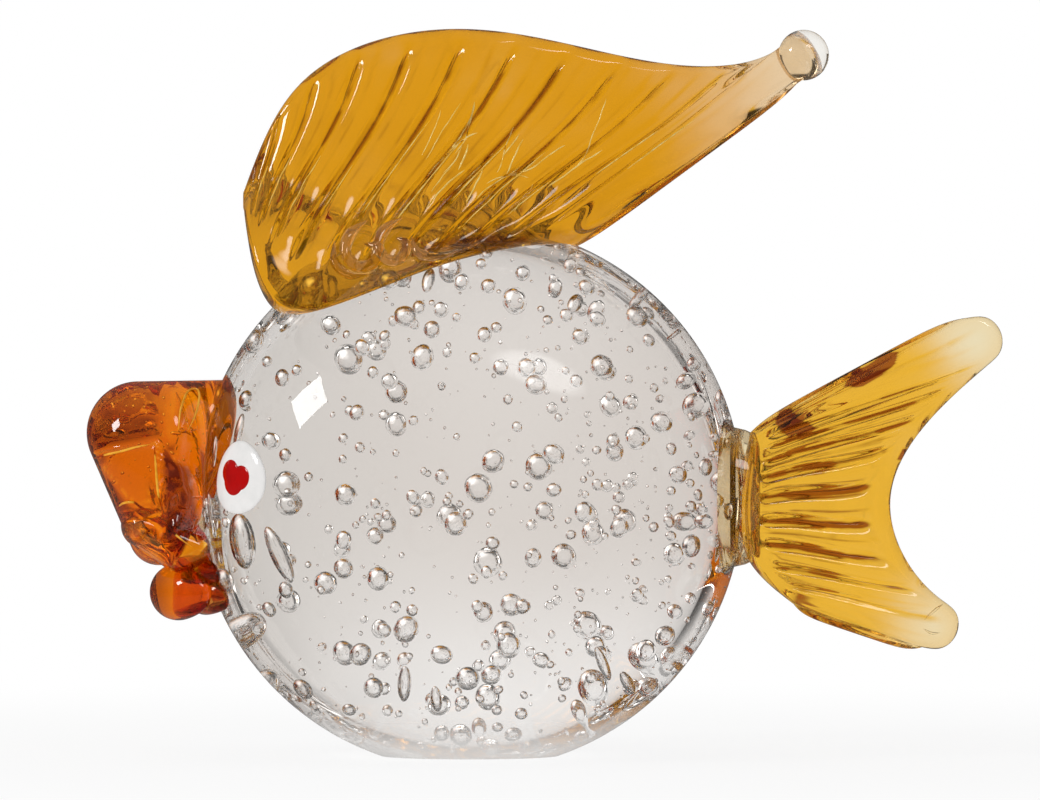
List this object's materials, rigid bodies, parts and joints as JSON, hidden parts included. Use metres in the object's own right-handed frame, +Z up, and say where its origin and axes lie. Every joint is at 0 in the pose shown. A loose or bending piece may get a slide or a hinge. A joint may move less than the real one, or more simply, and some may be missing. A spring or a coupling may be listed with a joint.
{
  "type": "fish figurine",
  "caption": "Solid glass fish ornament: a clear pebble body on a ground base, with ribbed amber dorsal and tail fins, drooping amber lips and applied white eyes with red pupils.",
  "frame": {"origin": "centre of the flat ground under the belly, where the fish stands", "axes": "+X from mouth to tail, -Y to the fish's left side, which the picture shows, +Z up"},
  "size_m": [0.1993, 0.086, 0.1581],
  "materials": {
    "clear_glass": "fire-polished clear glass with trapped bubbles",
    "amber_glass": "fire-polished amber glass that fades to clear at its tips",
    "dark_amber_glass": "fire-polished deep amber glass",
    "white_glass": "glossy opaque white glass",
    "red_glass": "glossy opaque red glass"
  },
  "bodies": {
    "root": {"body": "clear_glass", "dorsal_fin": "amber_glass", "tail_fin": "amber_glass", "upper_lip": "dark_amber_glass", "lower_lip": "dark_amber_glass", "left_eye_white": "white_glass", "right_eye_white": "white_glass", "left_pupil": "red_glass", "right_pupil": "red_glass"}
  },
  "joints": []
}
